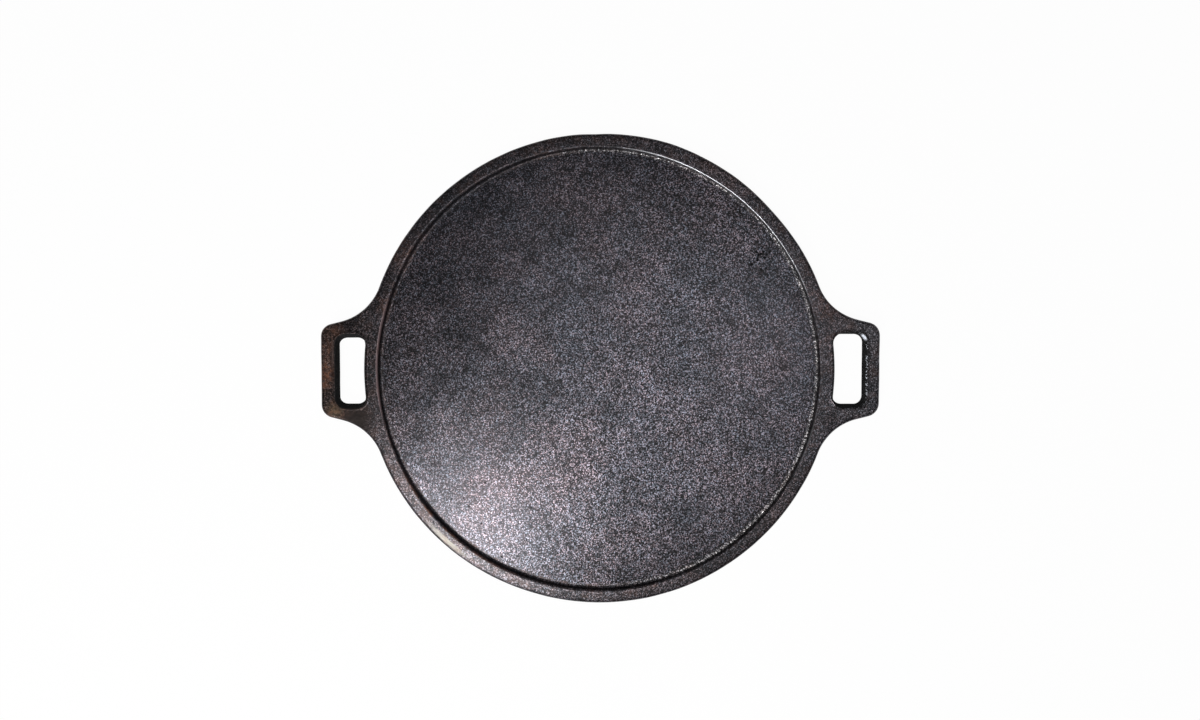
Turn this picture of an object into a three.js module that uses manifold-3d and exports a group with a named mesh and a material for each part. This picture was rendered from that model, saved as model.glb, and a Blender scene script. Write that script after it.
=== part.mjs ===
// A tawa: a flat cast-iron griddle with a shallow recess inside a low rim, and two loop handles.
// The real one is a single sand casting, so its regions are separate solids that meet face to face.
// Millimetres, +Z up. The origin is the middle of the underside, and the handles lie along X.

import * as THREE from 'three';
import { mergeVertices } from 'three/addons/utils/BufferGeometryUtils.js';
import Module from 'manifold-3d';

// Plate and rim
const RIM_DIAMETER = 305; // a 12 inch tawa, over the rim
const RIM_WIDTH = 11.2; // from the edge of the flat cooking face to the outside
const PLATE_THICKNESS = 4;
const RECESS_DEPTH = 4.5; // from the top of the rim down to the cooking face
const FOOT_FILLET = 1.3; // where the cooking face turns up into the recess wall
const RECESS_DRAFT = 8; // degrees that the recess wall leans outwards
const INNER_EDGE_RADIUS = 1.4;
const OUTER_EDGE_RADIUS = 2;
const BASE_EDGE_RADIUS = 1.5;
const OUTER_DRAFT = 10; // degrees that the outer walls lean in towards the base

// Handles
const HANDLE_THICKNESS = 7; // flush with the top of the rim
const HANDLE_WIDTH = 57.6; // across the outer edge, between the straight sides
const SIDE_SPLAY = 14; // degrees that the straight sides spread towards the rim
const HANDLE_CORNER = 8.5; // radius of the outer corners
const FLARE_RADIUS = 36; // hollow curve that carries the sides into the rim
const HANDLE_EDGE_RADIUS = 1.5; // along the underside
const HANDLE_START = 2.5; // where the handle regions begin, outside the rim's circle
const HANDLE_BURIED = 4.5; // how far each handle reaches under the rim's flat top

// Finger holes, at the top face; they narrow towards the underside
const HOLE_START = 0.8; // inside the rim's circle
const HOLE_CORNER = 7.6;
const HOLE_EDGE_RADIUS = 1;
const HOLE_TAPER = 2.2; // how much narrower the hole is underneath, on each side

// The pattern was shaped by hand, so the handles and their holes are neither quite central nor quite alike.
// Grip is the bar between the hole and the handle's outer edge; shifts are along Y.
const LEFT = { side: -1, reach: 28, shift: -1.8, grip: 8.5, holeWidth: 48.4, holeShift: -2.2 };
const RIGHT = { side: 1, reach: 29.7, shift: -0.9, grip: 7.6, holeWidth: 50.9, holeShift: -1.05 };

// Facets
const CIRCLE_STEPS = 120;
const EDGE_STEPS = 4;
const FLARE_STEPS = 10;
const CORNER_STEPS = 6;

const rimRadius = RIM_DIAMETER / 2;
const plateRadius = rimRadius - RIM_WIDTH;
const top = PLATE_THICKNESS + RECESS_DEPTH;
const handleBottom = top - HANDLE_THICKNESS;

const radians = THREE.MathUtils.degToRad;
const wasm = await Module();
wasm.setup();

// Points on an arc of [across, up] pairs, both ends included. Angles in degrees.
function arc(across, up, radius, from, to, steps) {
  return Array.from({ length: steps + 1 }, (_, i) => {
    const angle = radians(from + ((to - from) * i) / steps);
    return [across + radius * Math.cos(angle), up + radius * Math.sin(angle)];
  });
}

// The outer wall as [inset, z] pairs from the bottom face up to the top face.
// Inset is measured inwards from the widest line, which lies just under the top edge's rounding.
function outerWall(bottom, bottomRadius) {
  const widest = top - OUTER_EDGE_RADIUS;
  const lean = Math.tan(radians(OUTER_DRAFT));
  const footInset = (widest - bottom - bottomRadius) * lean;
  return [
    ...arc(-footInset - bottomRadius, bottom + bottomRadius, bottomRadius, -90, 0, EDGE_STEPS),
    ...arc(-OUTER_EDGE_RADIUS, widest, OUTER_EDGE_RADIUS, 0, 90, EDGE_STEPS),
  ].map(([across, up]) => [-across, up]);
}

// The wall of a finger hole as [inset, z] pairs, carried on past the underside and past the top face.
function holeWall() {
  const r = HOLE_EDGE_RADIUS;
  return [
    [HOLE_TAPER - r, handleBottom - HANDLE_THICKNESS],
    ...arc(HOLE_TAPER - r, handleBottom + r, r, -90, 0, EDGE_STEPS),
    ...arc(0, top - r, r, 0, 90, EDGE_STEPS),
    [0, top + HANDLE_THICKNESS],
  ];
}

// The recess wall as [radius, z] pairs from the cooking face up to the top of the rim.
function recessWall() {
  const turn = 90 - RECESS_DRAFT;
  const foot = arc(plateRadius, PLATE_THICKNESS + FOOT_FILLET, FOOT_FILLET, -90, turn - 90, EDGE_STEPS);
  const [footR, footZ] = foot.at(-1);
  const lift = INNER_EDGE_RADIUS * (1 - Math.cos(radians(turn)));
  const run = INNER_EDGE_RADIUS * Math.sin(radians(turn));
  const edgeR = footR + (top - lift - footZ) * Math.tan(radians(RECESS_DRAFT)) + run;
  const edge = arc(edgeR, top - INNER_EDGE_RADIUS, INNER_EDGE_RADIUS, 90 + turn, 90, EDGE_STEPS);
  return [...foot, ...edge];
}

// One side of a handle's plan, for sign 1 or -1 across the handle: its straight side and two arc centres.
function handleSide({ reach, shift }, sign) {
  const outer = rimRadius + reach;
  const normal = new THREE.Vector2(Math.sin(radians(SIDE_SPLAY)), sign * Math.cos(radians(SIDE_SPLAY)));
  const along = new THREE.Vector2(normal.y * sign, -normal.x * sign);
  const offset = normal.dot(new THREE.Vector2(outer, shift + (sign * HANDLE_WIDTH) / 2));

  const cornerX = outer - HANDLE_CORNER;
  const cornerY = (offset - HANDLE_CORNER - cornerX * normal.x) / normal.y;

  const flareDistance = rimRadius + FLARE_RADIUS;
  const flareOut = offset + FLARE_RADIUS;
  const flareAlong = Math.sqrt(flareDistance ** 2 - flareOut ** 2);
  const flare = normal.clone().multiplyScalar(flareOut).addScaledVector(along, flareAlong);
  return { normal, corner: new THREE.Vector2(cornerX, cornerY), flare };
}

const degreesOf = (v) => THREE.MathUtils.radToDeg(Math.atan2(v.y, v.x));

// A handle's plan at some inset, counter-clockwise, for a handle on the right.
function handlePlan(handle, inset) {
  const half = (sign) => {
    const { normal, corner, flare } = handleSide(handle, sign);
    const across = degreesOf(normal);
    const toRim = degreesOf(flare) + 180 * -sign;
    const radius = FLARE_RADIUS + inset;
    return [
      ...arc(corner.x, corner.y, HANDLE_CORNER - inset, 0, across, CORNER_STEPS),
      ...arc(flare.x, flare.y, radius, across - 180 * sign, toRim, FLARE_STEPS),
    ];
  };
  const upper = half(1);
  const lower = half(-1).reverse();
  const from = degreesOf(new THREE.Vector2(...upper.at(-1)));
  const to = degreesOf(new THREE.Vector2(...lower[0]));
  const seat = arc(0, 0, rimRadius - HANDLE_BURIED, from, to, FLARE_STEPS);
  return [...lower, ...upper, ...seat];
}

// A finger hole's plan at some inset, counter-clockwise, for a handle on the right.
function holePlan({ reach, grip, holeWidth, holeShift }, inset) {
  const outerX = rimRadius + reach - grip - HOLE_CORNER;
  const aside = holeWidth / 2 - HOLE_CORNER;
  const startRadius = rimRadius - HOLE_START;
  const radius = HOLE_CORNER - inset;
  const half = (sign) => {
    const y = holeShift + sign * aside;
    const innerX = Math.sqrt((startRadius + HOLE_CORNER) ** 2 - y ** 2);
    const towardsRim = degreesOf(new THREE.Vector2(innerX, y)) + 180 * sign;
    return [
      ...arc(outerX, y, radius, 0, 90 * sign, CORNER_STEPS),
      ...arc(innerX, y, radius, 90 * sign, towardsRim, CORNER_STEPS),
    ];
  };
  const upper = half(1);
  const lower = half(-1).reverse();
  const from = degreesOf(new THREE.Vector2(...upper.at(-1)));
  const to = degreesOf(new THREE.Vector2(...lower[0]));
  const bulge = arc(0, 0, startRadius + inset, from, to, CORNER_STEPS).slice(1, -1);
  return [...lower, ...upper, ...bulge];
}

// A closed body through one plan per level of a wall, on the handle's own side of the tawa.
function stacked(wall, planAt, side) {
  const layers = wall.map(([inset, z]) => planAt(inset).map(([x, y]) => [side * x, y, z]));
  const count = layers[0].length;
  const triangles = [];
  for (let layer = 0; layer + 1 < layers.length; layer++)
    for (let i = 0; i < count; i++) {
      const a = layer * count + i;
      const b = layer * count + ((i + 1) % count);
      triangles.push([a, b, b + count], [a, b + count, a + count]);
    }
  const cap = (layer) =>
    THREE.ShapeUtils.triangulateShape(
      layers[layer].map(([x, y]) => new THREE.Vector2(x * side, y)),
      [],
    ).map((t) => t.map((i) => layer * count + i));
  triangles.push(...cap(0).map((t) => t.toReversed()), ...cap(layers.length - 1));

  const geometry = new THREE.BufferGeometry();
  geometry.setAttribute('position', new THREE.Float32BufferAttribute(layers.flat(2), 3));
  geometry.setIndex(triangles.flatMap((t) => (side > 0 ? t : t.toReversed())));
  return solid(geometry);
}

// A closed three.js geometry as a solid that can be joined and cut.
function solid(geometry) {
  const bare = geometry.clone();
  bare.deleteAttribute('normal');
  bare.deleteAttribute('uv');
  const merged = mergeVertices(bare);
  const corners = merged.index.array;
  const kept = [];
  for (let i = 0; i < corners.length; i += 3) {
    const [a, b, c] = corners.subarray(i, i + 3);
    if (a !== b && b !== c && c !== a) kept.push(a, b, c);
  }
  return new wasm.Manifold(
    new wasm.Mesh({
      numProp: 3,
      vertProperties: merged.attributes.position.array,
      triVerts: new Uint32Array(kept),
    }),
  );
}

// A closed profile of [radius, z] pairs turned about the Z axis.
function turned(profile) {
  const points = profile.map(([radius, z]) => new THREE.Vector2(radius, z));
  return solid(new THREE.LatheGeometry(points, CIRCLE_STEPS).rotateX(Math.PI / 2));
}

// The space outside the plane where a handle region begins, with room beyond the handle's own end.
function handleSpace({ side, reach }) {
  const start = rimRadius + HANDLE_START;
  const box = new THREE.BoxGeometry(reach, RIM_DIAMETER, 2 * top);
  return solid(box.translate(side * (start + reach / 2), 0, top / 2));
}

function plate() {
  return turned([
    [0, 0],
    [plateRadius, 0],
    [plateRadius, PLATE_THICKNESS],
    [0, PLATE_THICKNESS],
  ]);
}

function ring() {
  const outside = outerWall(0, BASE_EDGE_RADIUS).map(([inset, z]) => [rimRadius - inset, z]);
  const inside = recessWall().reverse();
  return turned([[plateRadius, 0], ...outside, ...inside, [plateRadius, 0]]);
}

// A handle with its hole, still whole down to where it is buried in the rim.
function loop(handle) {
  const body = stacked(outerWall(handleBottom, HANDLE_EDGE_RADIUS), (i) => handlePlan(handle, i), handle.side);
  const hole = stacked(holeWall(), (i) => holePlan(handle, i), handle.side);
  return { body, hole };
}

function mesh(name, body, color, roughness) {
  const { vertProperties, triVerts } = body.getMesh();
  const geometry = new THREE.BufferGeometry();
  geometry.setAttribute('position', new THREE.BufferAttribute(vertProperties, 3));
  geometry.setIndex(new THREE.BufferAttribute(triVerts, 1));
  geometry.computeVertexNormals();
  const material = new THREE.MeshStandardMaterial({ color, roughness, metalness: 0.3, flatShading: true });
  const made = new THREE.Mesh(geometry, material);
  made.name = name;
  return made;
}

const left = loop(LEFT);
const right = loop(RIGHT);
const leftSpace = handleSpace(LEFT);
const rightSpace = handleSpace(RIGHT);
const rim = ring().add(left.body).add(right.body).subtract(left.hole).subtract(right.hole);

const tawa = new THREE.Group();
tawa.name = 'tawa';
tawa.add(
  mesh('griddle_plate', plate(), 0x37353a, 0.55),
  mesh('rim', rim.subtract(leftSpace).subtract(rightSpace), 0x2b2829, 0.6),
  mesh('left_handle', left.body.subtract(left.hole).intersect(leftSpace), 0x30271f, 0.65),
  mesh('right_handle', right.body.subtract(right.hole).intersect(rightSpace), 0x2d2a2b, 0.6),
);

export default tawa;
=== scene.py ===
"""A cast-iron tawa on a pale floor, seen from straight above.

The iron is one casting. Its surface is built here as two skins, an upper and a lower one, that
share the outline and the narrowest line of each finger hole. It is then parted into the four
regions of the solids: the cooking plate, the rim and the two handles. A handle's outline is drawn
on the right and mirrored for the left. Lengths are millimetres, and metres in the room at the end.
"""

import math

import bmesh
import bpy
import numpy as np
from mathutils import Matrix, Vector, noise
from mathutils.geometry import delaunay_2d_cdt


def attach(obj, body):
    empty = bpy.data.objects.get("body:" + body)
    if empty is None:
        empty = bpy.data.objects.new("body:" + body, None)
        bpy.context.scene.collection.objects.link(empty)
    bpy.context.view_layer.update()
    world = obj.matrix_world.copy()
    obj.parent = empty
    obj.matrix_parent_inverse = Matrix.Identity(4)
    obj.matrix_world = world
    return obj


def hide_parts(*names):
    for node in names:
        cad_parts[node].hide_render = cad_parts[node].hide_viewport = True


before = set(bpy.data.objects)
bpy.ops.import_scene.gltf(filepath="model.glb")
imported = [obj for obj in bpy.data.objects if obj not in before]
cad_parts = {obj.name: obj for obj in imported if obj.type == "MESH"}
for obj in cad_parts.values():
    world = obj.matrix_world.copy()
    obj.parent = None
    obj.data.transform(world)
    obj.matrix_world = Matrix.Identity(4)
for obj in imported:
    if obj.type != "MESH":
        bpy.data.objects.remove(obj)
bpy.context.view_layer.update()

# Camera
EYE = (0.4, 5.19, 509.4)
LENS = 23.19

eye_data = bpy.data.cameras.new("eye")
eye_data.lens = LENS
eye_data.sensor_width = 36
eye_data.clip_end = 20
eye = bpy.data.objects.new("eye", eye_data)
eye.location = [v / 1000 for v in EYE]
bpy.context.scene.collection.objects.link(eye)
bpy.context.scene.camera = eye
bpy.context.scene.view_settings.view_transform = "Standard"

# Sizes of the casting
RIM_R = 152.5
PLATE_R = 141.3
FACE_Z = 4
TOP_Z = 8.5
UNDER_Z = 1.5  # the handles' underside
BASE_EDGE = 1.5
OUTER_EDGE = 2
WIDEST_Z = TOP_Z - OUTER_EDGE
DRAFT = math.tan(math.radians(10))
# The recess was dressed by hand, so it isn't quite round: radii every 20 degrees,
# counter-clockwise from the right, of the line where the cooking face turns up and of the rim's
# inner edge.
FOOT = (
    *(142.15, 142.1, 142.05, 141.95, 142.05, 142.5, 142.15, 142.35, 141.65),
    *(142.2, 142.15, 142.0, 142.15, 142.2, 142.25, 142.65, 142.4, 142.4),
)
BRINK = (
    *(143.8, 143.7, 143.0, 143.05, 143.8, 144.3, 145.0, 145.4, 144.6),
    *(145.35, 144.55, 145.3, 145.4, 145.4, 145.65, 144.9, 144.5, 144.1),
)
# The fillet at the foot and the rounding at the brink each take a share of the way between them
FILLET_SHARE = 0.44
FILLET_MOST = 1.3
BRINK_SHARE = 0.5
BRINK_MOST = 1.5
BRINK_SLOPE = 0.8  # the rounding's depth to its width
RECESS_STEEP = math.radians(86)
# A shallow groove runs round the cooking face's edge
GROOVE_R = 140.6
GROOVE_WIDTH = 0.45
GROOVE_DEPTH = 0.05
# The flat tops fall off a little towards their edges
SOFT_DROP = 0.02
SOFT_REACH = 1.2
TOP_RING = 0.3  # inside the outer rounding
TOP_RING_DROP = 0.8 * SOFT_DROP
# Handles
SPLAY = math.radians(14)
HANDLE_WIDTH = 57.6
CORNER = 8.5
FLARE = 36
HANDLE_EDGE = 1.5
HANDLE_START = 2.5  # the cut between rim and handle, from the rim's widest line
UNDER_BLEND = 1.2  # between the base's wall and the handles' underside
HOLE_START = -0.8
HOLE_CORNER = 7.6
HOLE_EDGE = 1
# A hole narrows downwards by its taper along x and y, and leans by its lift.
LEFT = dict(
    reach=28.25, shift=-1.8, grip=8.5, hole_width=49.4, hole_shift=-2, taper=(2.2, 3.1), lift=0.3
)
RIGHT = dict(
    reach=29.5, shift=-0.9, grip=8, hole_width=50.1, hole_shift=-1.4, taper=(2, 2.2), lift=0.8
)

# Spacing of the vertices
EDGE_STEP = 1.2
TOP_STEP = 1.5
PLATE_STEP = 1.8
UNDER_STEP = 2
BASE_STEP = 3.2
PAN_HALF = (190, 160)
PLATE_HALF = (145, 145)
ROW_SHARE = 0.866  # of a lattice's step between its rows, for even-sided triangles
JITTER = 0.12
CLEARANCE = 0.6  # between a lattice and the loop round it, as a share of the step
RING_COUNT = 600
RING_SMOOTHING = 16
# Rings by their distance from the plate's edge, or by the share or angle of a rounding's turn,
# each with how much it belongs to the recess's foot, its brink or a hole's wall
FACE_RINGS = ((-3, 0), (-2.1, 0), (-1.6, 0), (-1.2, 0), (-0.8, 0), (-0.4, 0.2), (0, 0.5))
FOOT_RINGS = ((0, 1), (0.15, 1), (0.3, 1), (0.47, 1), (0.65, 0.8), (0.82, 0.5), (1, 0.3))
BRINK_RINGS = (
    *((1, 0.3), (0.84, 0.8), (0.68, 1), (0.53, 1), (0.4, 1)),
    *((0.28, 1), (0.17, 0.6), (0.08, 0.2), (0, 0)),
)
HOLE_RINGS = ((0, 1), (20, 1), (38, 1), (54, 0.95), (68, 0.7), (80, 0.3), (90, 0))
# Turns of the other roundings in degrees, and how far the lower wall's loops lie inside the outline
OUTER_TURN = (15, 30, 45, 58, 70, 80, 86, 90)
HOLE_UNDER_TURN = (25, 48, 70, 90)
WALL_INSETS = (0.2, 0.42, 0.62, 0.75, 0.9, 1.07, 1.27, 1.55, 1.9, 2.4)
# Circles that follow the base's wall where it passes under the handles
UNDER_CIRCLES = (149.9, 150.35, 150.75, 151.05, 151.3, 151.5, 151.75, 152.1)
CIRCLE_GAP = 0.35
UNDER_GAP = 0.9
FAR_INSIDE = 10.0  # an inset at which the handles' underside is flat

# Traces of hand work
# Swellings and dips of the rim's outline: direction and width in degrees, and amount
OUTLINE_BUMPS = ((73, 8, 0.45), (41, 10, -0.8), (91, 3, -0.5), (215, 20, 0.2), (250, 15, -0.2))
# Unevenness of the surface: size, period, how far it changes with height, and seed
WAVES = ((0.09, 55, 0, 2), (0.04, 16, 0, 3), (0.022, 4.2, 0.5, 4))
ROUGHNESS = 0.05  # of the outline and the walls
END_TILT = 0.013  # the handles' ends aren't quite square


# Outlines
def unit(degrees):
    a = math.radians(degrees)
    return np.array([math.cos(a), math.sin(a)])


RIGHTWARD, UPWARD = np.array([1.0, 0.0]), np.array([0.0, 1.0])
RING = np.array([unit(360 * i / RING_COUNT) for i in range(RING_COUNT)])


def heading(v):
    return math.degrees(math.atan2(v[1], v[0]))


def along_arc(centre, radius, start, end, facing):
    """Points from start to end degrees, without the last, each with the normal out of the iron."""
    count = max(3, round(abs(math.radians(end - start)) * radius / EDGE_STEP))
    out = []
    for i in range(count):
        u = unit(start + (end - start) * i / count)
        out.append((np.array(centre) + radius * u, facing * u))
    return out


def along_line(a, b, normal):
    count = max(2, round(np.linalg.norm(b - a) / EDGE_STEP))
    return [(a + (b - a) * i / count, normal) for i in range(count)]


def handle_half(handle, sign):
    """The tangent circles of one side of a handle: its normal, corner centre and flare centre."""
    outer = RIM_R + handle["reach"]
    normal = np.array([math.sin(SPLAY), sign * math.cos(SPLAY)])
    run = np.array([math.cos(SPLAY), -sign * math.sin(SPLAY)])
    offset = normal @ np.array([outer, handle["shift"] + sign * HANDLE_WIDTH / 2])
    x = outer - CORNER
    corner = np.array([x, (offset - CORNER - x * normal[0]) / normal[1]])
    out = offset + FLARE
    flare = normal * out + run * math.sqrt((RIM_R + FLARE) ** 2 - out**2)
    return normal, corner, flare


def handle_outline(handle):
    """A handle's outline, counter-clockwise, and the angles where it leaves and meets the rim."""
    n0, corner0, flare0 = handle_half(handle, -1)
    n1, corner1, flare1 = handle_half(handle, 1)
    a0, a1 = heading(n0), heading(n1)
    out = along_arc(flare0, FLARE, heading(flare0) + 180, a0 + 180, -1)
    out += along_line(flare0 - n0 * FLARE, corner0 + n0 * CORNER, n0)
    out += along_arc(corner0, CORNER, a0, 0, 1)
    out += along_line(corner0 + RIGHTWARD * CORNER, corner1 + RIGHTWARD * CORNER, RIGHTWARD)
    out += along_arc(corner1, CORNER, 0, a1, 1)
    out += along_line(corner1 + n1 * CORNER, flare1 - n1 * FLARE, n1)
    out += along_arc(flare1, FLARE, a1 - 180, heading(flare1) - 180, -1)
    return out, heading(flare0), heading(flare1)


def hole_outline(handle):
    """A finger hole's top edge, counter-clockwise. Its normals point into the hole."""
    outer = RIM_R + handle["reach"] - handle["grip"] - HOLE_CORNER
    aside = handle["hole_width"] / 2 - HOLE_CORNER
    start = RIM_R + HOLE_START
    low, high = handle["hole_shift"] - aside, handle["hole_shift"] + aside
    low_in = math.sqrt((start + HOLE_CORNER) ** 2 - low**2)
    high_in = math.sqrt((start + HOLE_CORNER) ** 2 - high**2)
    low_turn, high_turn = heading((low_in, low)), heading((high_in, high))
    grip_x, low_y, high_y = outer + HOLE_CORNER, low - HOLE_CORNER, high + HOLE_CORNER

    out = along_arc((outer, low), HOLE_CORNER, -90, 0, -1)
    out += along_line(np.array([grip_x, low]), np.array([grip_x, high]), -RIGHTWARD)
    out += along_arc((outer, high), HOLE_CORNER, 0, 90, -1)
    out += along_line(np.array([outer, high_y]), np.array([high_in, high_y]), -UPWARD)
    out += along_arc((high_in, high), HOLE_CORNER, 90, high_turn + 180, -1)
    out += along_arc((0, 0), start, high_turn, low_turn, 1)
    out += along_arc((low_in, low), HOLE_CORNER, low_turn + 180, 270, -1)
    out += along_line(np.array([low_in, low_y]), np.array([outer, low_y]), UPWARD)
    return out


def mirrored(chain):
    """The chain on the left-hand side, still counter-clockwise."""
    flip = np.array([-1.0, 1.0])
    return [(p * flip, n * flip) for p, n in reversed(chain)]


def split(chain):
    return np.array([p for p, _ in chain]), np.array([n for _, n in chain])


right_chain, right_from, right_to = handle_outline(RIGHT)
left_chain, left_from, left_to = handle_outline(LEFT)
OUTLINE, OUTLINE_N = split(
    right_chain
    + along_arc((0, 0), RIM_R, right_to, 180 - left_to, 1)
    + mirrored(left_chain)
    + along_arc((0, 0), RIM_R, 180 - left_from, 360 + right_from, 1)
)
HOLES = [
    (*split(hole_outline(RIGHT)), RIGHT),
    (*split(mirrored(hole_outline(LEFT))), LEFT),
]


def inside(polygon, points):
    """Which points lie inside a closed polygon."""
    x, y = points[:, 0], points[:, 1]
    result = np.zeros(len(points), bool)
    previous = np.roll(polygon, 1, axis=0)
    for (x0, y0), (x1, y1) in zip(previous, polygon):
        if y0 == y1:
            continue
        crosses = (y0 > y) != (y1 > y)
        result ^= crosses & (x < (x1 - x0) * (y - y0) / (y1 - y0) + x0)
    return result


def between(outer, holes):
    """A test for points that lie inside one polygon and outside some others."""

    def test(points):
        ok = inside(outer, points)
        for hole in holes:
            ok &= ~inside(hole, points)
        return ok

    return test


def everywhere(points):
    return np.ones(len(points), bool)


def nearest(points, chains, block=512):
    """The distance from each point to the nearest point of some chains."""
    chain = np.vstack(chains)
    out = np.empty(len(points))
    for i in range(0, len(points), block):
        d = points[i : i + block, None, :] - chain[None, :, :]
        out[i : i + block] = np.sqrt((d**2).sum(2).min(1))
    return out


# Heights
def wall_z(inset, bottom, radius):
    """The height of the outer wall's lower part at some inset from the widest line."""
    inset = np.asarray(inset, float)
    foot = (WIDEST_Z - bottom - radius) * DRAFT
    t = np.clip(1 - (inset - foot) / radius, 0, 1)
    rounded = bottom + radius * (1 - np.sqrt(1 - t**2))
    return np.where(inset <= foot, WIDEST_Z - inset / DRAFT, rounded)


def smooth_min(a, b, k):
    h = np.clip(1 - np.abs(a - b) / k, 0, 1)
    return np.minimum(a, b) - h**3 * k / 6


def under_z(points, inset):
    """The underside: the round base, and the handles' underside that runs into it with a fillet."""
    r = np.hypot(points[:, 0], points[:, 1])
    base = np.where(r > RIM_R, WIDEST_Z + (r - RIM_R) / DRAFT, wall_z(RIM_R - r, 0, BASE_EDGE))
    handle = wall_z(inset, UNDER_Z, HANDLE_EDGE)
    k = UNDER_BLEND * np.clip((WIDEST_Z - np.minimum(base, handle)) / 2, 0.001, 1)
    return smooth_min(base, handle, k)


def soften(z):
    """Lets the top edges fall off a little, as worn cast edges do."""
    share = np.clip((z - WIDEST_Z) / OUTER_EDGE, 0, 1)
    return z - SOFT_DROP * share**2


# The mesh, as lists that grow
coords = []
marks = []  # how much each vertex belongs to the recess's foot, its brink and a hole's wall
faces = []


def add(points, z, mark=(0, 0, 0)):
    """New vertices at some height, as their numbers."""
    start = len(coords)
    z = np.broadcast_to(np.asarray(z, float), (len(points),))
    coords.extend([p[0], p[1], h] for p, h in zip(points, z))
    marks.extend([mark] * len(points))
    return np.arange(start, start + len(points))


def loop_xy(loop):
    return np.array([coords[i][:2] for i in loop])


def strips(loops, leftward):
    """Quads between neighbouring loops of one count.

    Seen from outside the iron, each loop lies on the left or on the right of the one before it.
    """
    for before, after in zip(loops, loops[1:]):
        a, b = (before, after) if leftward else (after, before)
        for i in range(len(a)):
            j = (i + 1) % len(a)
            faces.append((a[i], a[j], b[j], b[i]))


def lattice(step, half):
    """Slightly uneven rows of points over a rectangle round the middle, given by its half sides."""
    rows = np.arange(-half[1], half[1], step * ROW_SHARE)
    out = []
    for k, y in enumerate(rows):
        x = np.arange(-half[0], half[0], step) + (k % 2) * step / 2
        out.append(np.c_[x, np.full(len(x), y)])
    out = np.vstack(out)
    jitter = np.array([[math.sin(12.9 * i), math.sin(78.2 * i + 1)] for i in range(len(out))])
    return out + jitter * step * JITTER


def disc(step, radius):
    """Points of a lattice that lie well inside a circle of the plate's radius or less."""
    points = lattice(step, PLATE_HALF)
    return points[np.hypot(points[:, 0], points[:, 1]) < radius - CLEARANCE * step]


def fill(loops, points, height, keep, upward):
    """Triangles between loops of vertices that exist, through new points at some height."""
    fixed = np.concatenate(loops)
    ids = np.concatenate([fixed, add(points, height(points))])
    flat = np.vstack([loop_xy(fixed), points])
    edges = []
    start = 0
    for loop in loops:
        n = len(loop)
        edges += [(start + i, start + (i + 1) % n) for i in range(n)]
        start += n
    xy = [Vector(p) for p in flat]
    _, _, found, originals, _, _ = delaunay_2d_cdt(xy, edges, [], 0, 1e-7, True)
    found = [[originals[i][0] for i in t] for t in found]
    middles = np.array([flat[t].mean(0) for t in found])
    for t, ok in zip(found, keep(middles)):
        if not ok:
            continue
        (ax, ay), (bx, by), (cx, cy) = flat[t]
        up = (bx - ax) * (cy - ay) - (by - ay) * (cx - ax) > 0
        t = t if up == upward else t[::-1]
        faces.append(tuple(ids[i] for i in t))


def around(radii):
    """A smooth run of radii, one for each vertex of a ring, from radii given all the way round."""
    given = np.arange(len(radii) + 1) * RING_COUNT / len(radii)
    run = np.interp(np.arange(RING_COUNT), given, [*radii, radii[0]])
    window = np.hanning(2 * RING_SMOOTHING + 1)
    padded = np.concatenate([run[-RING_SMOOTHING:], run, run[:RING_SMOOTHING]])
    return np.convolve(padded, window / window.sum(), "valid")


def recess_wall():
    """Rings from the cooking face up to the rim's top. Gives the first and the last."""
    foot, brink = around(FOOT), around(BRINK)
    fillet = np.minimum(FILLET_SHARE * (brink - foot), FILLET_MOST)
    across = np.minimum(BRINK_SHARE * (brink - foot), BRINK_MOST)
    down = BRINK_SLOPE * across

    def circle(radii, z, foot_mark=0, brink_mark=0):
        points = RING * np.broadcast_to(radii, RING_COUNT)[:, None]
        return add(points, z, (foot_mark, brink_mark, 0))

    loops = [circle(PLATE_R + d, FACE_Z, foot_mark=mark) for d, mark in FACE_RINGS]
    for turn, mark in FOOT_RINGS:
        a = turn * RECESS_STEEP
        z = FACE_Z + fillet * (1 - math.cos(a))
        loops.append(circle(foot + fillet * math.sin(a), z, foot_mark=mark))
    for turn, mark in BRINK_RINGS:
        a = turn * RECESS_STEEP
        fall = SOFT_DROP * (1 - (1 - math.cos(a)) / (1 - math.cos(RECESS_STEEP))) ** 2
        z = TOP_Z - down * (1 - math.cos(a)) - fall
        loops.append(circle(brink - across * math.sin(a), z, brink_mark=mark))
    strips(loops, leftward=False)
    return loops[0], loops[-1]


def outer_wall():
    """From the widest line up to the rim's top and down to the underside. Gives both ends."""
    widest = add(OUTLINE, WIDEST_Z)
    upper = [widest]
    for degrees in OUTER_TURN:
        a = math.radians(degrees)
        points = OUTLINE - OUTLINE_N * OUTER_EDGE * (1 - math.cos(a))
        upper.append(add(points, soften(WIDEST_Z + OUTER_EDGE * math.sin(a))))
    upper.append(add(OUTLINE - OUTLINE_N * (OUTER_EDGE + TOP_RING), TOP_Z - TOP_RING_DROP))
    strips(upper, leftward=True)

    lower = [widest]
    for inset in WALL_INSETS:
        points = OUTLINE - OUTLINE_N * inset
        lower.append(add(points, under_z(points, np.full(len(points), inset))))
    strips(lower, leftward=False)
    return upper[-1], lower[-1]


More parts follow.
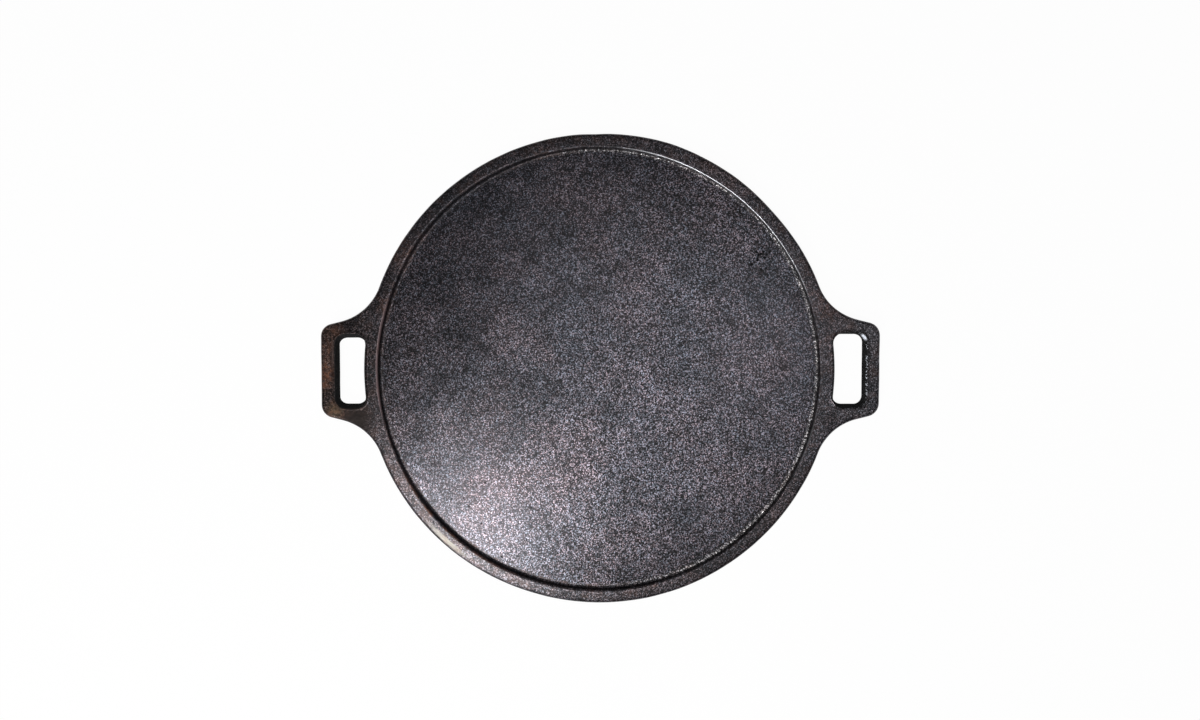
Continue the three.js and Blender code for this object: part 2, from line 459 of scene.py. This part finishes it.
def finger_hole(edge, normal, handle):
    """A hole's wall, from its narrowest line up and down. Gives the loops at both ends."""
    narrow_xy = edge + normal * handle["taper"] + np.array([0, handle["lift"]])
    brim_xy = edge + normal * HOLE_EDGE
    narrow = add(narrow_xy, UNDER_Z + HOLE_EDGE, (0, 0, 1))
    upper = [narrow]
    for s in (0.25, 0.5, 0.75):
        z = UNDER_Z + HOLE_EDGE + s * (TOP_Z - UNDER_Z - 2 * HOLE_EDGE)
        upper.append(add(narrow_xy + s * (brim_xy - narrow_xy), z, (0, 0, 1)))
    for degrees, mark in HOLE_RINGS:
        a = math.radians(degrees)
        z = soften(TOP_Z - HOLE_EDGE * (1 - math.sin(a)))
        upper.append(add(edge + normal * HOLE_EDGE * math.cos(a), z, (0, 0, mark)))
    strips(upper, leftward=True)

    lower = [narrow]
    for degrees in HOLE_UNDER_TURN:
        a = math.radians(degrees)
        points = narrow_xy - normal * HOLE_EDGE * (1 - math.cos(a))
        lower.append(add(points, UNDER_Z + HOLE_EDGE * (1 - math.sin(a))))
    strips(lower, leftward=False)
    return upper[-1], lower[-1]


face_loop, brink_loop = recess_wall()
top_loop, under_loop = outer_wall()
hole_tops, hole_bottoms = zip(*[finger_hole(*hole) for hole in HOLES])

# Top of the rim and handles
top_outer = loop_xy(top_loop)
top_inner = [loop_xy(brink_loop), *map(loop_xy, hole_tops)]
on_top = between(top_outer, top_inner)


def top_height(points):
    return TOP_Z - SOFT_DROP * np.exp(-nearest(points, [top_outer, *top_inner]) / SOFT_REACH)


points = lattice(TOP_STEP, PAN_HALF)
points = points[on_top(points)]
points = points[nearest(points, [top_outer, *top_inner]) > 0.5 * TOP_STEP]
fill([top_loop, brink_loop, *hole_tops], points, top_height, on_top, upward=True)

# Cooking face
points = disc(PLATE_STEP, PLATE_R + FACE_RINGS[0][0])
fill([face_loop], points, lambda p: FACE_Z, everywhere, upward=True)

# Underside
base_loop = add(RING * PLATE_R, 0)
under_edges = [loop_xy(under_loop), *map(loop_xy, hole_bottoms)]
on_under = between(under_edges[0], [RING * PLATE_R, *under_edges[1:]])


def under_height(points):
    return under_z(points, np.full(len(points), FAR_INSIDE))


circles = np.vstack([RING * r for r in UNDER_CIRCLES])
circles = circles[on_under(circles)]
circles = circles[nearest(circles, under_edges) > CIRCLE_GAP]
points = lattice(UNDER_STEP, PAN_HALF)
points = points[on_under(points)]
points = points[nearest(points, [RING * PLATE_R, circles, *under_edges]) > UNDER_GAP]
points = np.vstack([circles, points])
fill([under_loop, base_loop, *hole_bottoms], points, under_height, on_under, upward=False)

fill([base_loop], disc(BASE_STEP, PLATE_R), lambda p: 0, everywhere, upward=False)


# Shaped by hand: small departures from the true circle and from flatness
def ease(a, b, v):
    t = np.clip((v - a) / (b - a), 0, 1)
    return t * t * (3 - 2 * t)


def bump_at(angle, centre, width):
    away = (angle - centre + 180) % 360 - 180
    return np.exp(-((away / width) ** 2))


def field(points, period, seed):
    """Smooth noise from about -1 to 1 at points in millimetres."""
    shift = Vector((seed * 17.3, seed * 5.1, seed * 9.7))
    return np.array([noise.noise(Vector(p) / period + shift) for p in points]) * 1.6


def shaped_by_hand(coords):
    x, y, z = coords.T
    radius = np.hypot(x, y)
    angle = np.degrees(np.arctan2(y, x))
    outward = sum(size * bump_at(angle, at, width) for at, width, size in OUTLINE_BUMPS)
    stretch = 1 + outward * ease(147, 152, radius) / np.maximum(radius, 1)
    tilt = END_TILT * ease(158, 176, radius) * (y + 1)
    groove = GROOVE_DEPTH * np.exp(-(((radius - GROOVE_R) / GROOVE_WIDTH) ** 2))
    groove *= 0.2 + 0.8 * bump_at(angle, -20, 60)  # deepest on the right
    uneven = ROUGHNESS * ease(141, 144, radius)
    wave = sum(
        size * field(coords * [1, 1, rise], period, seed) for size, period, rise, seed in WAVES
    )
    return np.c_[
        x * stretch + np.sign(x) * tilt + uneven * field(coords, 9, 1),
        y * stretch + uneven * field(coords, 10, 5),
        z + wave * ease(0.3, 3, z) - groove * (z > FACE_Z - 0.1),
    ]


# One mesh of the whole casting, cut along the planes where the handle regions begin
CUT = RIM_R + HANDLE_START
whole = bmesh.new()
layer = whole.verts.layers.float_vector.new("marks")
made = [whole.verts.new(c) for c in shaped_by_hand(np.array(coords, float))]
for vert, mark in zip(made, marks):
    vert[layer] = mark
for f in faces:
    whole.faces.new([made[i] for i in f])
for side in (-1, 1):
    every = whole.verts[:] + whole.edges[:] + whole.faces[:]
    bmesh.ops.bisect_plane(
        whole, geom=every, dist=1e-5, plane_co=(side * CUT, 0, 0), plane_no=(side, 0, 0)
    )
bmesh.ops.triangulate(whole, faces=[f for f in whole.faces if len(f.verts) > 4])
whole.normal_update()
whole.verts.index_update()
vertices = np.array([v.co for v in whole.verts])
vertex_normals = np.array([v.normal for v in whole.verts])
vertex_marks = np.array([v[layer] for v in whole.verts])
polygons = [[v.index for v in f.verts] for f in whole.faces]
whole.free()


def region(corners):
    """Which of the four regions a polygon lies in."""
    middle_x = corners[:, 0].mean()
    if middle_x > CUT:
        return "right_handle"
    if middle_x < -CUT:
        return "left_handle"
    return "griddle_plate" if np.hypot(*corners[:, :2].T).mean() < PLATE_R else "rim"


regions = [region(vertices[p]) for p in polygons]


def at_plate_edge(edge):
    co = edge.verts[0].co
    return abs(co.x) < CUT / 1000 - 1e-5 and abs(co.to_2d().length - PLATE_R / 1000) < 5e-4


def piece(name):
    """One region as a closed mesh. Its own surface keeps the whole casting's shading."""
    chosen = [p for p, r in zip(polygons, regions) if r == name]
    used = sorted({i for p in chosen for i in p})
    place = {old: new for new, old in enumerate(used)}
    bm = bmesh.new()
    verts = [bm.verts.new(vertices[i] / 1000) for i in used]
    for p in chosen:
        f = bm.faces.new([verts[place[i]] for i in p])
        f.smooth = True
    skin = len(bm.faces)
    open_edges = [e for e in bm.edges if e.is_boundary]
    if name in ("griddle_plate", "rim"):
        bmesh.ops.bridge_loops(bm, edges=[e for e in open_edges if at_plate_edge(e)])
        open_edges = [e for e in bm.edges if e.is_boundary]
    if open_edges:
        bmesh.ops.holes_fill(bm, edges=open_edges, sides=0)
    bm.faces.ensure_lookup_table()
    for f in bm.faces[skin:]:
        f.smooth = False
    bm.normal_update()
    mesh = bpy.data.meshes.new(name)
    bm.to_mesh(mesh)
    bm.free()
    kept = mesh.attributes.new("marks", "FLOAT_COLOR", "POINT")
    kept.data.foreach_set("color", np.c_[vertex_marks[used], np.ones(len(used))].ravel())
    normals = []
    for f in mesh.polygons:
        for i in f.vertices:
            outward = Vector(vertex_normals[used[i]]) if f.index < skin else f.normal.copy()
            normals.append(outward)
    mesh.normals_split_custom_set(normals)
    obj = bpy.data.objects.new(name + "_iron", mesh)
    bpy.context.scene.collection.objects.link(obj)
    return obj


# Shader nodes
PATTERN_TURN = (0.61, 0.43, 0.27)  # turns the patterns out of line with the pan


class Nodes:
    """Short forms for the nodes of a material or a world.

    Places, reaches and periods are millimetres. The nodes themselves count in metres.
    """

    def __init__(self, owner, place):
        owner.use_nodes = True
        self.tree = owner.node_tree
        self.tree.nodes.clear()
        self.place = self.new("ShaderNodeTexCoord").outputs[place]

    def new(self, kind, **settings):
        node = self.tree.nodes.new(kind)
        for key, value in settings.items():
            setattr(node, key, value)
        return node

    def feed(self, slot, value):
        """Links a socket to another one, or sets it to a number, a vector or a colour, if any."""
        if value is None:
            return
        if isinstance(value, bpy.types.NodeSocket):
            self.tree.links.new(value, slot)
        elif slot.type == "RGBA":
            slot.default_value = (*value, 1)
        else:
            slot.default_value = value

    def pattern(self, kind, period, shift):
        """A texture whose parts are one period wide."""
        at = self.new("ShaderNodeMapping")
        self.feed(at.inputs["Vector"], self.place)
        self.feed(at.inputs["Location"], shift)
        self.feed(at.inputs["Rotation"], PATTERN_TURN)
        self.feed(at.inputs["Scale"], (1000 / period,) * 3)
        node = self.new(kind)
        self.feed(node.inputs["Vector"], at.outputs[0])
        self.feed(node.inputs["Scale"], 1.0)
        return node

    def noise(self, period, detail=2.0, roughness=0.5, shift=0.0):
        """Noise of about 0 to 1."""
        shift = (shift, shift * 0.7, shift * 0.3)
        node = self.pattern("ShaderNodeTexNoise", period, shift)
        self.feed(node.inputs["Detail"], detail)
        self.feed(node.inputs["Roughness"], roughness)
        return node.outputs["Fac"]

    def cells(self, period, shift=0.0):
        """The distance to each cell's middle, and a random vector for each cell."""
        node = self.pattern("ShaderNodeTexVoronoi", period, (shift,) * 3)
        return node.outputs["Distance"], node.outputs["Color"]

    def parts(self, colour):
        """The three channels of a colour."""
        node = self.new("ShaderNodeSeparateColor")
        self.feed(node.inputs[0], colour)
        return node.outputs

    def vector(self, operation, a, b=None, scale=None):
        node = self.new("ShaderNodeVectorMath", operation=operation)
        self.feed(node.inputs[0], a)
        self.feed(node.inputs[1], b)
        if operation == "SCALE":
            self.feed(node.inputs["Scale"], scale)
        number = operation in ("DISTANCE", "LENGTH", "DOT_PRODUCT")
        return node.outputs["Value"] if number else node.outputs[0]

    def math(self, operation, a, b=None, c=None, clamp=False):
        node = self.new("ShaderNodeMath", operation=operation, use_clamp=clamp)
        for slot, value in zip(node.inputs, (a, b, c)):
            self.feed(slot, value)
        return node.outputs[0]

    def remap(self, value, low, high, out_low=0.0, out_high=1.0, smooth=False):
        node = self.new("ShaderNodeMapRange", clamp=True)
        node.interpolation_type = "SMOOTHSTEP" if smooth else "LINEAR"
        self.feed(node.inputs["Value"], value)
        self.feed(node.inputs["From Min"], low)
        self.feed(node.inputs["From Max"], high)
        self.feed(node.inputs["To Min"], out_low)
        self.feed(node.inputs["To Max"], out_high)
        return node.outputs["Result"]

    def mix(self, factor, a, b, blend="MIX"):
        """Mixes two colours."""
        node = self.new("ShaderNodeMix", data_type="RGBA", blend_type=blend)
        slots = [s for s in node.inputs if s.enabled]
        for slot, value in zip(slots, (factor, a, b)):
            self.feed(slot, value)
        return next(s for s in node.outputs if s.enabled)

    def shader_mix(self, factor, a, b):
        node = self.new("ShaderNodeMixShader")
        for slot, value in zip(node.inputs, (factor, a, b)):
            self.feed(slot, value)
        return node.outputs[0]

    def glowing(self, kind, colour, strength):
        node = self.new(kind)
        self.feed(node.inputs["Color"], colour)
        self.feed(node.inputs["Strength"], strength)
        return node.outputs[0]

    def coming_rays(self):
        """Whether a camera ray arrives, and whether a reflected or refracted one does."""
        path = self.new("ShaderNodeLightPath").outputs
        sharp = self.math("MAXIMUM", path["Is Glossy Ray"], path["Is Transmission Ray"])
        return path["Is Camera Ray"], sharp

    def output(self, kind, surface):
        self.feed(self.new(kind).inputs["Surface"], surface)

    def spot(self, centre, reach, gain=None):
        """A soft ball round a place, 1 in its middle. A gain above 1 flattens its top."""
        away = self.vector("DISTANCE", self.place, tuple(c / 1000 for c in centre))
        ball = self.remap(away, 0, reach / 1000, 1, 0, smooth=True)
        return self.math("MULTIPLY", ball, gain, clamp=True) if gain else ball

    def with_spots(self, value, spots):
        """A value with an amount added round each place."""
        for centre, reach, amount in spots:
            value = self.math("MULTIPLY_ADD", self.spot(centre, reach), amount, value)
        return value

    def along(self, direction, low, high, out_low=0.0, out_high=1.0):
        """A ramp between two distances from the pan's middle along a direction."""
        at = self.vector("DOT_PRODUCT", self.place, direction)
        return self.remap(at, low / 1000, high / 1000, out_low, out_high)

    def line(self, distance, at, inner, outer, amount=1.0, smooth=False):
        """The amount up to inner from where a distance has some value, and 0 from outer on."""
        away = self.math("ABSOLUTE", self.math("SUBTRACT", distance, at / 1000))
        return self.remap(away, inner / 1000, outer / 1000, amount, 0, smooth=smooth)


# Looks of the iron. Each grain lies between the cool and the warm colour and leans by up to tilt.
PLATE_LOOK = dict(
    cool=(0.041, 0.046, 0.059),
    warm=(0.0565, 0.044, 0.05),
    tilt=0.02,
    gloss=0.295,
    contrast=0.95,
    mottling=0.42,
)
CASTING_LOOK = dict(
    cool=(0.037, 0.039, 0.047),
    warm=(0.049, 0.038, 0.041),
    tilt=0.04,
    gloss=0.3,
    contrast=0.82,
    mottling=0.35,
)
LEFT_TINTS = ((0.042, 0.034, 0.035), (0.064, 0.041, 0.034))
RIGHT_TINTS = ((0.05, 0.053, 0.062), (0.058, 0.052, 0.057))
RUST_TINTS = ((0.05, 0.021, 0.014), (0.17, 0.075, 0.042))
# Painted shade inside the pits
PIT_SHADE = (0.008, 0.008, 0.009)
SMALL_PIT_SHADE = (0.005, 0.005, 0.006)
# Painted shade in the groove on the right
GROOVE_SHADE = (0.006, 0.006, 0.007)
# Painted shade and painted glints in the finger holes
HOLE_SHADE = (0.004, 0.004, 0.0045)
GLINT = (0.66, 0.7, 0.78)
# Painted highlights on the recess's brink
BRINK_HIGHLIGHT = (0.44, 0.455, 0.49)
BRINK_FAINT_HIGHLIGHT = (0.07, 0.071, 0.076)
BRINK_PINK_HIGHLIGHT = (0.13, 0.092, 0.095)
# Painted highlight of a smooth band on the rim
SHEEN_STREAK = (0.1, 0.095, 0.086)
# Painted highlight by the left hole, and a darker patch at that handle's near side
EDGE_HIGHLIGHT = (0.15, 0.1, 0.09)
DARK_PATCH = (0.014, 0.01, 0.0095)
TAN = (0.12, 0.086, 0.054)

GRAIN = 0.6  # width of a grain of sand
# Period, detail, shift and rise of the unevenness. Its rise and the pits' depth are microns.
UNEVENNESS = ((1.3, 1.0, 0.0, 24.0), (3.2, 3.0, 7.1, 22.0), (19, 3.0, 3.3, 60.0))
PIT_DEPTH = 40.0
MICRON = 1e-6

# Single places, each with its reach
FAINT_SHARE = 0.35  # of the grain's contrast is lost there
FAINT_GRAIN = ((-95, -95, 4), 120)
SMALL_PITS = ((104, 72, 4), 14)
FOOT_HIGHLIGHT_AT = ((134, 49, 4), 40)
FAINT_HIGHLIGHT_NEAR = ((136, -50, 8.5), 32)
SHEEN_STREAK_AT = ((-99, -112, 8.5), 24)
RUSTY_BRINK = ((-100, -105, 8.5), 110)
EDGE_HIGHLIGHT_AT = ((-172.9, 8, 8.5), 13)
DARK_PATCH_AT = ((-158, -34, 8.5), 19)
TAN_CORNER = ((-171.5, -27, 8.5), 8)
GLINTING_EDGE = ((173.5, 1, 8), 32)
HIGHLIGHT_SPOT = ((172, 20.3, 7.6), 3.4)

# Where the grain's contrast is weaker, as place, reach and amount
CONTRAST_SPOTS = (
    ((-70, 110, 4), 170, -0.18),
    ((130, 25, 4), 95, -0.2),
)
# Where the casting has browned
RUST_SPOTS = (
    ((-176.5, -2, 8.5), 10, 1.0),
    ((-178, -9, 8.5), 8, 0.8),
    ((-177, 12, 8.5), 9, 0.5),
    ((-172, 22, 8.5), 12, 0.4),
    ((-172, -28, 8.5), 9, 1.0),
    ((-160, -31, 8.5), 14, 0.5),
    ((-140, 42, 8.5), 12, 0.3),
    ((-128, 74, 8.5), 16, 0.3),
    ((-126, -72, 8.5), 22, 0.1),
    ((148, 40, 8.5), 14, 0.3),
    ((176, -3, 8.5), 9, 0.2),
    ((-40, 143, 8.5), 20, 0.2),
)
# Paler or darker patches of the seasoning, partly painted light and shade: paler in the near side's
# highlight
TONE_AND_LIGHT_SPOTS = (
    ((28, -58, 4), 85, 0.2),
    ((-22, -118, 4), 60, 0.3),
    ((0, 112, 4), 100, -0.16),
    ((131, -76, 8.5), 32, -0.38),
    ((107, -107, 8.5), 32, -0.38),
    ((76, -131, 8.5), 32, -0.38),
    ((-127, -73, 8.5), 32, 0.4),
    ((-165, -12, 8.5), 45, -0.3),
)


class Iron(Nodes):
    """Seasoned cast iron, whose colour, roughness, bumps and leaning grains come step by step."""

    def __init__(self, name):
        self.material = bpy.data.materials.new(name)
        super().__init__(self.material, "Object")
        marked = self.new("ShaderNodeAttribute", attribute_name="marks")
        self.foot, self.brink, self.hole = self.parts(marked.outputs["Color"])
        _, self.grain = self.cells(GRAIN)
        shuffled = self.new("ShaderNodeTexWhiteNoise")
        self.feed(shuffled.inputs["Vector"], self.grain)
        self.hue, self.value, _ = self.parts(shuffled.outputs["Color"])
        self.cloud = self.noise(46, detail=5.0, roughness=0.62, shift=1.7)
        self.across = self.vector("DOT_PRODUCT", self.place, (1.0, 0.0, 0.0))
        flat = self.vector("MULTIPLY", self.place, (1.0, 1.0, 0.0))
        self.radius = self.vector("LENGTH", flat)
        self.rightward = self.along((0.985, 0.17, 0.0), -20, 60)

    def paint(self, share, colour):
        self.colour = self.mix(share, self.colour, colour)

    def tint(self, cool, warm):
        """The iron's own colour, different for each grain and drifting in clouds."""
        share = self.math("MULTIPLY_ADD", self.cloud, 1.6, -0.8)
        self.share = self.math("ADD", share, self.hue, clamp=True)
        self.colour = self.mix(self.share, cool, warm)

    def tint_handles(self):
        """Browner on the left and greyer on the right."""
        brown = self.mix(self.share, *LEFT_TINTS)
        self.paint(self.along((1.0, 0.0, 0.0), -146, -170, 0, 0.8), brown)
        grey = self.mix(self.share, *RIGHT_TINTS)
        self.paint(self.along((1.0, 0.0, 0.0), 152, 170), grey)

    def season(self, contrast, mottling):
        """Light and dark: bright grains among many dark ones, clouds, and patches of tone and
        painted light and shade.
        """
        lost = -FAINT_SHARE * contrast
        contrast = self.math("MULTIPLY_ADD", self.spot(*FAINT_GRAIN), lost, contrast)
        contrast = self.with_spots(contrast, CONTRAST_SPOTS)
        glitter = self.math("MULTIPLY_ADD", self.math("POWER", self.value, 4.0), 5.0, -1.0)
        shade = self.math("MULTIPLY_ADD", glitter, contrast, 1.0)
        fine = self.noise(15, detail=3.0, roughness=0.55, shift=4.4)
        mottle = self.math("ADD", self.cloud, fine)
        mottle = self.remap(mottle, 0.7, 1.3, 1 - mottling, 1 + mottling)
        shade = self.math("MULTIPLY", shade, mottle)
        # Patches of tone, partly painted light and shade
        shade = self.math("MULTIPLY", shade, self.with_spots(1.0, TONE_AND_LIGHT_SPOTS))
        self.colour = self.mix(1.0, self.colour, shade, blend="MULTIPLY")

    def pit(self, gloss):
        """Pits everywhere with painted shade in them, small ones together on the far right, and
        waves between.
        """
        distance, _ = self.cells(6.5, shift=2.0)
        pits = self.remap(distance, 0.05, 0.15, 1, 0)
        distance, _ = self.cells(3.0, shift=5.0)
        small_pits = self.remap(distance, 0.26, 0.34, 1, 0)
        small_pits = self.math("MULTIPLY", small_pits, self.spot(*SMALL_PITS, gain=2.0))
        # Painted shade: the pits are coloured near black
        self.paint(self.math("MULTIPLY", pits, 0.75), PIT_SHADE)
        self.paint(small_pits, SMALL_PIT_SHADE)

        deep = self.math("MAXIMUM", small_pits, self.math("MULTIPLY", pits, 0.6))
        roughness = self.remap(self.cloud, 0.36, 0.66, gloss - 0.02, gloss + 0.03)
        self.roughness = self.math("MULTIPLY_ADD", deep, 0.65, roughness, clamp=True)

        height = self.math("MULTIPLY", pits, -PIT_DEPTH)
        for period, detail, shift, rise in UNEVENNESS:
            wave = self.noise(period, detail=detail, shift=shift)
            height = self.math("MULTIPLY_ADD", wave, rise, height)
        bump = self.new("ShaderNodeBump")
        self.feed(bump.inputs["Strength"], 1.0)
        self.feed(bump.inputs["Distance"], MICRON)
        self.feed(bump.inputs["Height"], height)
        self.bumps = bump.outputs[0]

    def light_and_shade_foot(self, tilt):
        """On the right, sand stands up at the wall's foot with painted highlight specks, and the
        groove has painted shade.
        """
        standing = self.math("MULTIPLY", self.foot, self.rightward)
        self.lean = self.math("MULTIPLY_ADD", standing, 0.2, 2 * tilt)
        # Painted highlight: bright specks added to the colour at the wall's foot
        foot_highlight = self.math("ADD", self.spot(*FOOT_HIGHLIGHT_AT), 1.0)
        foot_highlight = self.math("MULTIPLY", standing, foot_highlight)
        bright = self.math("MULTIPLY", self.math("POWER", self.value, 6.0), 0.6)
        self.paint(foot_highlight, self.mix(1.0, self.colour, bright, blend="ADD"))
        # Painted shade along the groove on the right
        groove_shade = self.line(self.radius, GROOVE_R, 0.3, 0.9, amount=0.4)
        self.paint(self.math("MULTIPLY", groove_shade, self.rightward), GROOVE_SHADE)

    def smooth_and_light_brink(self):
        """The brink is worn smooth, with painted highlights: bright far right, faint near right,
        pink far left.
        """
        # Painted highlights where the lamps catch the brink's rounding
        far_right = self.along((0.62, 0.78, 0.0), 118, 138)
        grains = self.remap(self.value, 0, 0.6, 0.55, 1)
        far_right = self.math("MULTIPLY", far_right, grains)
        self.paint(self.math("MULTIPLY", self.brink, far_right), BRINK_HIGHLIGHT)
        self.paint(self.math("MULTIPLY", self.brink, self.spot(*FAINT_HIGHLIGHT_NEAR)), BRINK_FAINT_HIGHLIGHT)
        far_left = self.along((-1.0, 0.05, 0.0), 138, 142)
        self.paint(self.math("MULTIPLY", self.brink, far_left), BRINK_PINK_HIGHLIGHT)
        self.lean = self.math("MULTIPLY", self.lean, self.remap(self.brink, 0, 1, 1, 0.2))

    def sheen_streak(self):
        """A smooth pale band along the rim's near left, its paleness a painted highlight."""
        sheen_streak = self.line(self.radius, 149.6, 0.9, 2.1, smooth=True)
        sheen_streak = self.math("MULTIPLY", sheen_streak, self.spot(*SHEEN_STREAK_AT))
        self.paint(sheen_streak, SHEEN_STREAK)
        self.lean = self.math("MULTIPLY", self.lean, self.remap(sheen_streak, 0, 1, 1, 0.3))

    def rust(self):
        """A thin bloom all over, broken patches, and a band along the near left brink."""
        bloom = self.noise(8, detail=6.0, roughness=0.65, shift=5.0)
        spread = self.remap(bloom, 0.5, 0.7, 0, 0.2)
        for centre, reach, amount in RUST_SPOTS:
            broken = self.noise(2.6, detail=4.0, roughness=0.65, shift=reach)
            broken = self.remap(broken, 0.4, 0.6, 0, amount)
            spot = self.spot(centre, reach)
            spread = self.math("MULTIPLY_ADD", spot, broken, spread, clamp=True)
        band = self.remap(self.brink, 0, 0.5, 0, 0.6)
        band = self.math("MULTIPLY", band, self.spot(*RUSTY_BRINK))
        broken = self.noise(11, detail=5.0, roughness=0.65, shift=9.0)
        broken = self.remap(broken, 0.44, 0.58)
        spread = self.math("MULTIPLY_ADD", band, broken, spread, clamp=True)
        self.paint(spread, self.mix(self.value, *RUST_TINTS))
        self.roughness = self.math("MULTIPLY_ADD", spread, 0.2, self.roughness, clamp=True)

    def light_and_mark_left_handle(self):
        """A painted highlight line by the left hole, and a darker patch and a tan patch at the left
        handle's near side.
        """
        # Painted highlight: a pale pinkish line on the left hole's outer edge
        lit_edge = self.line(self.across, EDGE_HIGHLIGHT_AT[0][0], 0.3, 0.9, amount=0.7)
        self.paint(self.math("MULTIPLY", lit_edge, self.spot(*EDGE_HIGHLIGHT_AT)), EDGE_HIGHLIGHT)
        self.paint(self.spot(*DARK_PATCH_AT, gain=1.1), DARK_PATCH)
        grains = self.remap(self.value, 0, 1, 0.2, 0.7)
        self.paint(self.math("MULTIPLY", self.spot(*TAN_CORNER), grains), TAN)

    def shade_holes_with_glints(self):
        """Painted shade on the finger holes' walls, and painted glints and a highlight spot by the
        right grip.
        """
        # Painted glints and a painted highlight spot on the right hole's edge
        glint = self.math("GREATER_THAN", self.value, 0.83)
        glint = self.math("MULTIPLY", glint, self.spot(*GLINTING_EDGE))
        glint = self.math("MULTIPLY", glint, self.along((0.0, 0.0, 1.0), 7.1, 7.7))
        glint = self.math("MAXIMUM", glint, self.spot(*HIGHLIGHT_SPOT, gain=1.6))
        self.paint(self.hole, self.mix(glint, HOLE_SHADE, GLINT))
        self.roughness = self.math("MULTIPLY_ADD", self.hole, 0.3, self.roughness, clamp=True)
        self.lean = self.math("MULTIPLY_ADD", self.hole, 0.8, self.lean)

    def finish(self):
        """Leans each grain its own way, and those on a hole's wall upwards too."""
        lean = self.vector("SUBTRACT", self.grain, (0.5, 0.5, 0.5))
        lean = self.vector("SCALE", lean, scale=self.lean)
        lean = self.vector("ADD", lean, self.vector("SCALE", (0.0, 0.0, 1.2), scale=self.hole))
        normal = self.vector("NORMALIZE", self.vector("ADD", self.bumps, lean))
        surface = self.new("ShaderNodeBsdfPrincipled")
        self.feed(surface.inputs["Metallic"], 0.75)
        self.feed(surface.inputs["IOR"], 1.5)
        self.feed(surface.inputs["Base Color"], self.colour)
        self.feed(surface.inputs["Roughness"], self.roughness)
        self.feed(surface.inputs["Normal"], normal)
        self.output("ShaderNodeOutputMaterial", surface.outputs[0])
        return self.material


def iron(name, cool, warm, tilt, gloss, contrast, mottling, casting=True):
    """Seasoned cast iron. The cooking plate has none of what a casting's rim and handles have."""
    look = Iron(name)
    look.tint(cool, warm)
    if casting:
        look.tint_handles()
    look.season(contrast, mottling)
    look.pit(gloss)
    look.light_and_shade_foot(tilt)
    if casting:
        look.smooth_and_light_brink()
        look.sheen_streak()
        look.rust()
        look.light_and_mark_left_handle()
        look.shade_holes_with_glints()
    return look.finish()


MATERIALS = {
    "griddle_plate": iron("seasoned plate", **PLATE_LOOK, casting=False),
    "rim": iron("seasoned rim", **CASTING_LOOK),
    "left_handle": iron("browned handle", **CASTING_LOOK),
    "right_handle": iron("dark handle", **CASTING_LOOK),
}
for name, material in MATERIALS.items():
    obj = piece(name)
    obj.data.materials.append(material)
    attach(obj, "root")
    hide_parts(name)

# Room, in metres
WHITE = (1, 1, 1)
DIM = (0.9, 0.93, 1.0)
DIM_STRENGTH = 0.045
FLOOR_COLOUR = (0.93, 0.93, 0.94)
FLOOR_HALF = 6
FLOOR_DROP = 0.0001


def floor_material():
    """White where the camera sees it and, away from the pan, where reflections do.

    Otherwise it is lit with its shadow, which the camera sees close to the pan and a little beyond.
    """
    material = bpy.data.materials.new("pale floor")
    n = Nodes(material, "Object")
    distance = n.vector("LENGTH", n.place)
    camera, sharp = n.coming_rays()
    seen = n.math("MAXIMUM", camera, n.math("MULTIPLY", sharp, n.remap(distance, 0.19, 0.28)))
    far = n.remap(distance, 0.5, 1.5, 0.96, 1)
    near = n.remap(distance, 0.1515, 0.1543)
    share = n.math("MULTIPLY", seen, n.math("MULTIPLY", far, near))
    matt = n.new("ShaderNodeBsdfDiffuse")
    n.feed(matt.inputs["Color"], FLOOR_COLOUR)
    white = n.glowing("ShaderNodeEmission", WHITE, 1.0)
    n.output("ShaderNodeOutputMaterial", n.shader_mix(share, matt.outputs[0], white))
    return material


def furnish_world():
    """White walls and a dark ceiling for reflections, white for the camera, and dim light."""
    world = bpy.data.worlds.new("room")
    bpy.context.scene.world = world
    n = Nodes(world, "Generated")
    up = n.vector("DOT_PRODUCT", n.place, (0.0, 0.0, 1.0))
    wall_strength = n.remap(up, 0.3, 0.7, 0.75, DIM_STRENGTH, smooth=True)
    walls = n.glowing("ShaderNodeBackground", WHITE, wall_strength)
    dim = n.glowing("ShaderNodeBackground", DIM, DIM_STRENGTH)
    bright = n.glowing("ShaderNodeBackground", WHITE, 1.0)
    camera, sharp = n.coming_rays()
    room = n.shader_mix(camera, n.shader_mix(sharp, dim, walls), bright)
    n.output("ShaderNodeOutputWorld", room)


def softbox(name, place, size, power, colour=WHITE):
    """A square lamp that faces the pan's middle."""
    data = bpy.data.lights.new(name, "AREA")
    data.size = size
    data.energy = power
    data.color = colour
    lamp = bpy.data.objects.new(name, data)
    lamp.location = place
    lamp.rotation_euler = (-Vector(place)).to_track_quat("-Z", "Y").to_euler()
    bpy.context.scene.collection.objects.link(lamp)


h = FLOOR_HALF
floor_mesh = bpy.data.meshes.new("floor")
floor_mesh.from_pydata([(-h, -h, 0), (h, -h, 0), (h, h, 0), (-h, h, 0)], [], [(0, 1, 2, 3)])
floor_mesh.materials.append(floor_material())
floor = bpy.data.objects.new("floor", floor_mesh)
floor.location.z = -FLOOR_DROP
bpy.context.scene.collection.objects.link(floor)
furnish_world()
softbox("key", (-0.255, -0.356, 1.0), 0.18, 4.6, (1, 0.98, 0.94))
softbox("overhead", (0.17, -0.04, 1.5), 0.84, 5.9)
softbox("low key", (-0.62, -0.98, 0.9), 0.35, 8)
